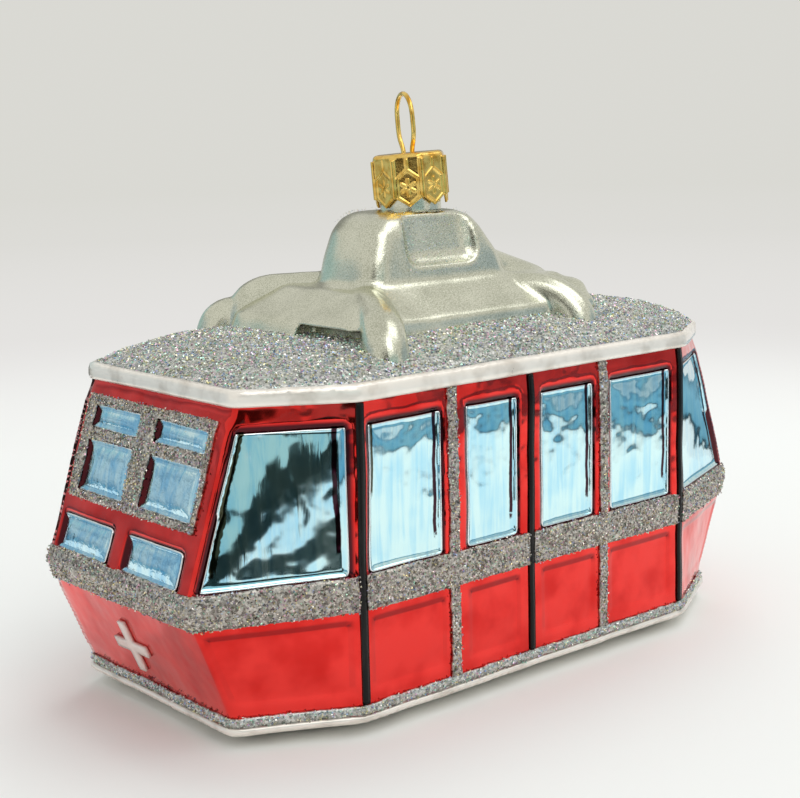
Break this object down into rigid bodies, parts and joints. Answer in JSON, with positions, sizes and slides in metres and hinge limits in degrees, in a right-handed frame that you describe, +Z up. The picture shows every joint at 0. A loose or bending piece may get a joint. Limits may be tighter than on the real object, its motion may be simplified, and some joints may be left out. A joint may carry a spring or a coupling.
{
  "type": "glass tree ornament shaped as a cable car cabin",
  "caption": "Hollow glass tree ornament shaped as a small cable car cabin, with glitter bands, blue mirror windows, a roof carriage and a pull-off crown cap with a wire hanging loop.",
  "frame": {"origin": "centre of the flat base, on the surface the ornament stands on", "axes": "+X towards the end with the cross, +Y towards one long side, +Z up through the neck"},
  "size_m": [0.1024, 0.0506, 0.0793],
  "materials": {
    "black_lacquer": "gloss black line",
    "blue_lacquer": "pale blue lacquer over silvered glass, mirror gloss, brushed on",
    "champagne_lacquer": "champagne lacquer over silvered glass, satin",
    "gold_cap": "bright stamped gold",
    "gold_wire": "bright gold wire",
    "pearl_enamel": "pearl white enamel, satin gloss",
    "red_lacquer": "clear red lacquer over silvered glass, mirror gloss",
    "silver_glitter": "silver iridescent glitter in clear glue"
  },
  "bodies": {
    "ornament": {"base_enamel": "pearl_enamel", "belt_glitter_1": "silver_glitter", "belt_glitter_2": "silver_glitter", "belt_glitter_3": "silver_glitter", "belt_glitter_4": "silver_glitter", "belt_glitter_5": "silver_glitter", "belt_glitter_6": "silver_glitter", "cabin_glass": "red_lacquer", "carriage_glass": "champagne_lacquer", "front_cross": "silver_glitter", "front_glitter_frame": "silver_glitter", "front_left_window": "blue_lacquer", "front_low_panes": "blue_lacquer", "front_panes": "blue_lacquer", "front_right_window": "blue_lacquer", "left_black_post_1": "black_lacquer", "left_black_post_2": "black_lacquer", "left_black_post_3": "black_lacquer", "left_glitter_post_1": "silver_glitter", "left_glitter_post_2": "silver_glitter", "left_window_1": "blue_lacquer", "left_window_2": "blue_lacquer", "left_window_3": "blue_lacquer", "left_window_4": "blue_lacquer", "neck_glass": "champagne_lacquer", "rear_glitter_frame": "silver_glitter", "rear_left_window": "blue_lacquer", "rear_low_panes": "blue_lacquer", "rear_panes": "blue_lacquer", "rear_right_window": "blue_lacquer", "right_black_post_1": "black_lacquer", "right_black_post_2": "black_lacquer", "right_black_post_3": "black_lacquer", "right_glitter_post_1": "silver_glitter", "right_glitter_post_2": "silver_glitter", "right_window_1": "blue_lacquer", "right_window_2": "blue_lacquer", "right_window_3": "blue_lacquer", "right_window_4": "blue_lacquer", "roof_glitter": "silver_glitter", "roof_rim": "pearl_enamel", "sill_glitter": "silver_glitter"},
    "cap": {"cap": "gold_cap", "hanger": "gold_wire"}
  },
  "joints": [
    {"name": "cap_lift", "type": "slide", "parent": "ornament", "child": "cap", "axis": [0, 0, 1], "range_m": [0, 0.02]}
  ]
}
